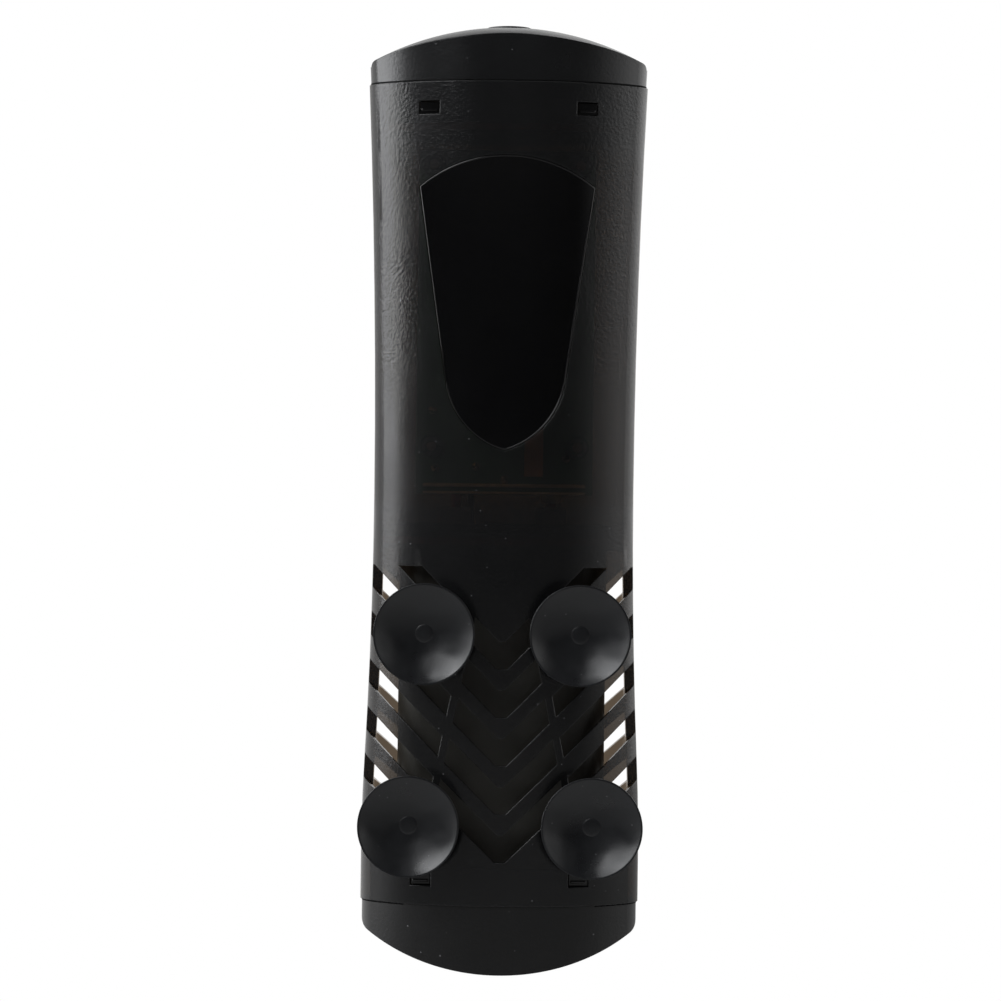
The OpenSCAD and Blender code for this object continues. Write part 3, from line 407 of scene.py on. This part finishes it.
# Each plain finish: its two colours, its least and most roughness, then grain, bump and patch in mm.
PLAIN_FINISHES = {
    # A paler rubber colour for the bead round each cup's lip: a painted highlight line.
    "lip_highlight_paint": ((0.014, 0.015, 0.017), (0.020, 0.021, 0.024), (0.25, 0.37), 0.35, 0.012, 7.0),
    "key_plastic": ((0.45, 0.46, 0.48), (0.50, 0.51, 0.53), (0.30, 0.40), 0.25, 0.01, 3.0),
    "switch_plastic": ((0.03, 0.03, 0.03), (0.045, 0.045, 0.045), (0.45, 0.60), 0.3, 0.02, 3.0),
    "seal_rubber": ((0.33, 0.08, 0.045), (0.40, 0.11, 0.065), (0.50, 0.65), 0.4, 0.02, 6.0),
    "board_laminate": ((0.02, 0.13, 0.065), (0.03, 0.18, 0.09), (0.28, 0.40), 0.6, 0.02, 7.0),
    "display_plastic": ((0.02, 0.02, 0.02), (0.03, 0.03, 0.03), (0.30, 0.40), 0.4, 0.01, 5.0),
    "header_plastic": ((0.62, 0.58, 0.46), (0.70, 0.66, 0.54), (0.40, 0.50), 0.3, 0.01, 4.0),
    "relay_plastic": ((0.02, 0.07, 0.26), (0.025, 0.085, 0.30), (0.30, 0.40), 0.4, 0.01, 6.0),
    "capacitor_can": ((0.03, 0.04, 0.10), (0.04, 0.05, 0.13), (0.25, 0.35), 0.5, 0.01, 5.0),
    "film_resin": ((0.42, 0.24, 0.12), (0.50, 0.30, 0.16), (0.35, 0.50), 0.8, 0.03, 3.0),
    "chip_plastic": ((0.015, 0.015, 0.015), (0.022, 0.022, 0.022), (0.50, 0.65), 0.15, 0.01, 3.0),
    "inner_plastic": ((0.030, 0.030, 0.032), (0.038, 0.038, 0.040), (0.40, 0.50), 0.4, 0.02, 10.0),
    "gland_rubber": ((0.012, 0.012, 0.013), (0.018, 0.018, 0.019), (0.45, 0.60), 0.3, 0.02, 4.0),
    "core_plastic": ((0.020, 0.019, 0.016), (0.027, 0.026, 0.022), (0.40, 0.50), 0.5, 0.03, 12.0),
    "sleeve_film": ((0.45, 0.24, 0.04), (0.52, 0.30, 0.06), (0.20, 0.30), 1.0, 0.01, 8.0),
    "stone_ceramic": ((0.16, 0.145, 0.135), (0.22, 0.20, 0.19), (0.70, 0.85), 0.2, 0.03, 3.0),
    "potting_resin": ((0.018, 0.018, 0.018), (0.028, 0.028, 0.028), (0.25, 0.45), 1.5, 0.05, 6.0),
    "lead_red": ((0.42, 0.03, 0.02), (0.50, 0.045, 0.03), (0.40, 0.50), 0.3, 0.01, 3.0),
    "lead_black": ((0.015, 0.015, 0.015), (0.025, 0.025, 0.025), (0.40, 0.50), 0.3, 0.01, 3.0),
    "fuse_ceramic": ((0.72, 0.70, 0.63), (0.80, 0.78, 0.72), (0.50, 0.65), 0.2, 0.01, 2.0),
}
METAL_FINISHES = {
    "screw_steel": ((0.55, 0.55, 0.56), (0.66, 0.66, 0.66), (0.25, 0.40), 0.2, 0.01, 2.0),
    "solder_metal": ((0.75, 0.66, 0.45), (0.85, 0.76, 0.55), (0.20, 0.35), 0.3, 0.02, 1.0),
    "spreader_metal": ((0.70, 0.71, 0.72), (0.78, 0.79, 0.80), (0.30, 0.45), 0.3, 0.02, 6.0),
    "electrode_brass": ((0.66, 0.45, 0.18), (0.74, 0.52, 0.24), (0.30, 0.42), 0.3, 0.02, 4.0),
    "probe_metal": ((0.58, 0.59, 0.60), (0.68, 0.69, 0.70), (0.22, 0.34), 0.2, 0.01, 5.0),
}
FINISHES = {
    "smoked_case": smoked_wall("smoked_case", ((45.0, 0.04), (47.5, 0.13), (116.0, 0.13), (121.0, 0.04))),
    "smoked_front": smoked_wall("smoked_front", ((36.0, 0.10), (41.0, 0.02))),
    "smoked_cap": moulded("smoked_cap", (0.0032, 0.0032, 0.0034), (0.0040, 0.0040, 0.0042), (0.28, 0.36),
                          0.6, 0.03, 18.0, edge=0.3, dust=4.0),
    "cap_plastic": moulded("cap_plastic", (0.0034, 0.0036, 0.0040), (0.0044, 0.0046, 0.0050), (0.22, 0.28),
                           0.6, 0.03, 18.0, edge=0.3, dust=3.0),
    "cup_rubber": moulded("cup_rubber", (0.0030, 0.0034, 0.0044), (0.0042, 0.0047, 0.0060), (0.25, 0.37),
                          0.35, 0.012, 7.0, edge=0.25, dents=0.42, dust=2.6),
    # A near-black, matt finish: painted shadow for the joints between the caps and the case.
    "joint_shadow_paint": moulded("joint_shadow_paint", (0.0015, 0.0015, 0.0015), (0.0025, 0.0025, 0.0025), (0.60, 0.75),
                          0.4, 0.02, 6.0, specular=0.08),
    "gloss_skin": glossy_skin("gloss_skin"),
    "window_lens": let_light_through(glossy_skin("window_lens"),
                                     ((88.0, 0.0), (90.0, 0.4), (104.0, 0.4), (106.0, 0.0)), WHITE[:3]),
    **{name: moulded(name, *look) for name, look in PLAIN_FINISHES.items()},
    **{name: moulded(name, *look, metallic=1.0) for name, look in METAL_FINISHES.items()},
}


def give(thing, finish):
    """The only finish of a piece."""
    thing.data.materials.clear()
    thing.data.materials.append(FINISHES[finish])


for row in frame["record"]["subparts"]:
    give(nodes[row["node"]], row["material_slot"])
give(nodes["front_cover"], "smoked_front")
give(nodes["display_lens"], "window_lens")


# ---- fine pieces ----


def add_piece(name, bm, slot, body, finish=None):
    """A new piece that rides on a body; its finish is its slot's unless one is named."""
    bmesh.ops.remove_doubles(bm, verts=bm.verts, dist=1e-7)
    bmesh.ops.recalc_face_normals(bm, faces=bm.faces)
    mesh = bpy.data.meshes.new(name)
    bm.to_mesh(mesh)
    bm.free()
    piece = bpy.data.objects.new(name, mesh)
    scene.collection.objects.link(piece)
    give(piece, finish or slot)
    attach(piece, body)
    return piece


def round_edges(bm, edges, radius, segments):
    bmesh.ops.bevel(bm, geom=edges, offset=radius * MM, offset_type="OFFSET", segments=segments, profile=0.5,
                    affect="EDGES", material=-1)


def raise_faces(bm, faces, height):
    """Extrudes faces along y by a height in mm, and gives the edges round them."""
    raised = bmesh.ops.extrude_face_region(bm, geom=faces)["geom"]
    verts = [part for part in raised if isinstance(part, bmesh.types.BMVert)]
    bmesh.ops.translate(bm, verts=verts, vec=(0.0, height * MM, 0.0))
    return [part for part in raised if isinstance(part, bmesh.types.BMEdge)]


def lay_plate(bm, corners, back, face, edge):
    """A flat plate between two y places, its corners as (x, z), with softened edges."""
    plate = bm.faces.new([bm.verts.new((x * MM, back * MM, z * MM)) for x, z in corners])
    round_edges(bm, raise_faces(bm, [plate], face - back), edge, 2)


def add_block(bm, middle, size, edge, segments):
    """A box with rounded edges."""
    place = Matrix.Translation(Vector(middle) * MM) @ Matrix.Diagonal((*(Vector(size) * MM), 1.0))
    corners = bmesh.ops.create_cube(bm, size=1.0, matrix=place)["verts"]
    round_edges(bm, [side for side in bm.edges if side.verts[0] in corners], edge, segments)


def turn_round_y(bm, profile, closed):
    """Spins a profile of (radius, y) points round the y axis."""
    verts = [bm.verts.new((r * MM, y * MM, 0.0)) for r, y in profile]
    ends = verts[1:] + verts[:1] if closed else verts[1:]
    edges = [bm.edges.new(pair) for pair in zip(verts, ends)]
    bmesh.ops.spin(bm, geom=verts + edges, cent=(0.0, 0.0, 0.0), axis=(0.0, 1.0, 0.0), angle=2 * math.pi,
                   steps=72, use_merge=True)


def outer_skin(node, keep):
    """A merged copy of a node's skin, of the faces whose middle and normal pass the test."""
    bm = bmesh.new()
    bm.from_mesh(nodes[node].data)
    bmesh.ops.remove_doubles(bm, verts=bm.verts, dist=1e-6)
    bm.normal_update()
    gone = [face for face in bm.faces if not keep(face.calc_center_median(), face.normal)]
    bmesh.ops.delete(bm, geom=gone, context="FACES")
    return bm


def add_cup_trim():
    """The low round land in the middle of each cup's hollow, and the fine bead round its lip, painted pale as
    a painted highlight.
    """
    land = [(r, rise - CUP_HOLLOW) for r, rise in LAND]
    turns = [math.tau * step / LIP_POINTS for step in range(LIP_POINTS)]
    lip = [(CUP_D / 2 - LIP_INSET + LIP_BEAD_R * math.cos(turn),
            LIP_BEAD_R * math.sin(turn) - LIP_BEAD_R - LIP_SUNK) for turn in turns]
    parts = (("_centre", land, False, None), ("_lip", lip, True, "lip_highlight_paint"))
    for name, (x, z) in CUPS.items():
        for part, profile, closed, finish in parts:
            bm = bmesh.new()
            turn_round_y(bm, profile, closed)
            bmesh.ops.translate(bm, verts=bm.verts, vec=(x * MM, 0.0, z * MM))
            add_piece(name + part, bm, "cup_rubber", name + "_sucker", finish).data.shade_smooth()


def add_label_rim():
    """A thin rounded bead that frames the bare label."""
    bm = outer_skin("rear_label", lambda middle, normal: normal.y > 0.3)
    skin = list(bm.faces)
    bmesh.ops.inset_region(bm, faces=skin, thickness=RIM_W * MM, depth=0.0, use_boundary=True,
                           use_even_offset=True)
    bmesh.ops.delete(bm, geom=skin, context="FACES")
    raised = raise_faces(bm, list(bm.faces), RIM_H)
    rims = [side for side in raised if any(abs(face.normal.y) < 0.3 for face in side.link_faces)]
    round_edges(bm, rims, RIM_ROUND, 3)
    add_piece("label_rim", bm, "gloss_skin", "case").data.shade_smooth()


def add_joint_shadow(name, node, low, high):
    """A near-black strip on a cap's wall, as painted shadow in the joint between the cap and the case,
    between two heights on the cap.
    """
    near = 3.0

    def on_wall(middle, normal):
        outwards = middle.x * normal.x + (middle.y - MID_Y * MM) * normal.y > 0.0
        return outwards and abs(normal.z) < 0.7 and low - near < middle.z / MM < high + near

    bm = outer_skin(node, on_wall)
    for height, side in ((low, -1.0), (high, 1.0)):
        bmesh.ops.bisect_plane(bm, geom=bm.verts[:] + bm.edges[:] + bm.faces[:], dist=1e-7,
                               plane_co=(0.0, 0.0, height * MM), plane_no=(0.0, 0.0, side), clear_outer=True)
    bmesh.ops.solidify(bm, geom=bm.faces[:], thickness=-SEAM_T * MM)
    add_piece(name, bm, "cap_plastic", "case", "joint_shadow_paint")


def add_catches():
    """The sprung catch in each snap window: a thin plate with a rounded bar across it."""
    for end, z in (("upper", TOP_SEAM_Z - SNAP_DROP), ("lower", BOTTOM_SEAM_Z + SNAP_DROP)):
        for side, x in (("left", SNAP_X), ("right", -SNAP_X)):
            bm = bmesh.new()
            add_block(bm, (x, SNAP_FACE_Y - 0.02, z), CATCH_PLATE, 0.03, 3)
            add_block(bm, (x, SNAP_FACE_Y + 0.20, z - CATCH_BAR_DROP), CATCH_BAR, 0.18, 3)
            add_piece("_".join((end, side, "catch")), bm, "gloss_skin", "case")


def add_board_rail():
    """The two pale terminal strips along the foot of the circuit board, behind the smoked wall."""
    board_low, board_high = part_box("circuit_board")
    bm = bmesh.new()
    for rise, size in ((0.35, RAIL_FOOT), (1.9, RAIL_HEAD)):
        add_block(bm, (0.0, board_high.y / MM + 0.2, board_low.z / MM + rise), size, 0.15, 2)
    add_piece("board_rail", bm, "header_plastic", "case")


def add_key_marks():
    """A thin arrow head on each key, pointing up on one and down on the other."""
    for name, side in (("up", 1), ("down", -1)):
        bm = bmesh.new()
        x, rise = side * KEY_X, side * MARK_HALF_H
        corners = ((x - MARK_HALF_W, KEY_Z - rise), (x + MARK_HALF_W, KEY_Z - rise), (x, KEY_Z + rise))
        lay_plate(bm, corners, KEY_FACE_Y + 0.1, KEY_FACE_Y - 0.06, 0.03)
        add_piece(name + "_mark", bm, "switch_plastic", name + "_key")


def add_digits():
    """Three unlit seven-segment digits on the face of the display, which lean a little."""
    face_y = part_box("led_display")[0][1] / MM
    level = [(0.0, rise, True) for rise in (-DIGIT_HALF_H, 0.0, DIGIT_HALF_H)]
    upright = [(side * DIGIT_HALF_W, rise, False) for side in (-1, 1)
               for rise in (-DIGIT_HALF_H / 2, DIGIT_HALF_H / 2)]
    bm = bmesh.new()
    for x in (-DIGIT_STEP, 0.0, DIGIT_STEP):
        for across, rise, lies in level + upright:
            tip = (DIGIT_HALF_W if lies else DIGIT_HALF_H / 2) - DIGIT_BAR * 0.75
            body = tip - DIGIT_BAR
            shape = ((-tip, 0.0), (-body, -DIGIT_BAR), (body, -DIGIT_BAR), (tip, 0.0), (body, DIGIT_BAR),
                     (-body, DIGIT_BAR))
            if not lies:
                shape = [(-v, u) for u, v in shape]
            corners = [(x + across + u - DIGIT_LEAN * (rise + v), DISPLAY_Z + rise + v) for u, v in shape]
            lay_plate(bm, corners, face_y + 0.1, face_y - 0.05, 0.02)
    add_piece("display_digits", bm, "header_plastic", "case")


add_cup_trim()
add_label_rim()
# Painted shadow strips in the joints of the top and bottom caps.
add_joint_shadow("top_joint_shadow", "top_cap", TOP_SEAM_Z + SEAM_OFF, TOP_SEAM_Z + SEAM_OFF + TOP_SEAM_W)
add_joint_shadow("bottom_joint_shadow", "bottom_cap", BOTTOM_SEAM_Z - SEAM_OFF - BOTTOM_SEAM_W, BOTTOM_SEAM_Z - SEAM_OFF)
add_catches()
add_board_rail()
add_key_marks()
add_digits()
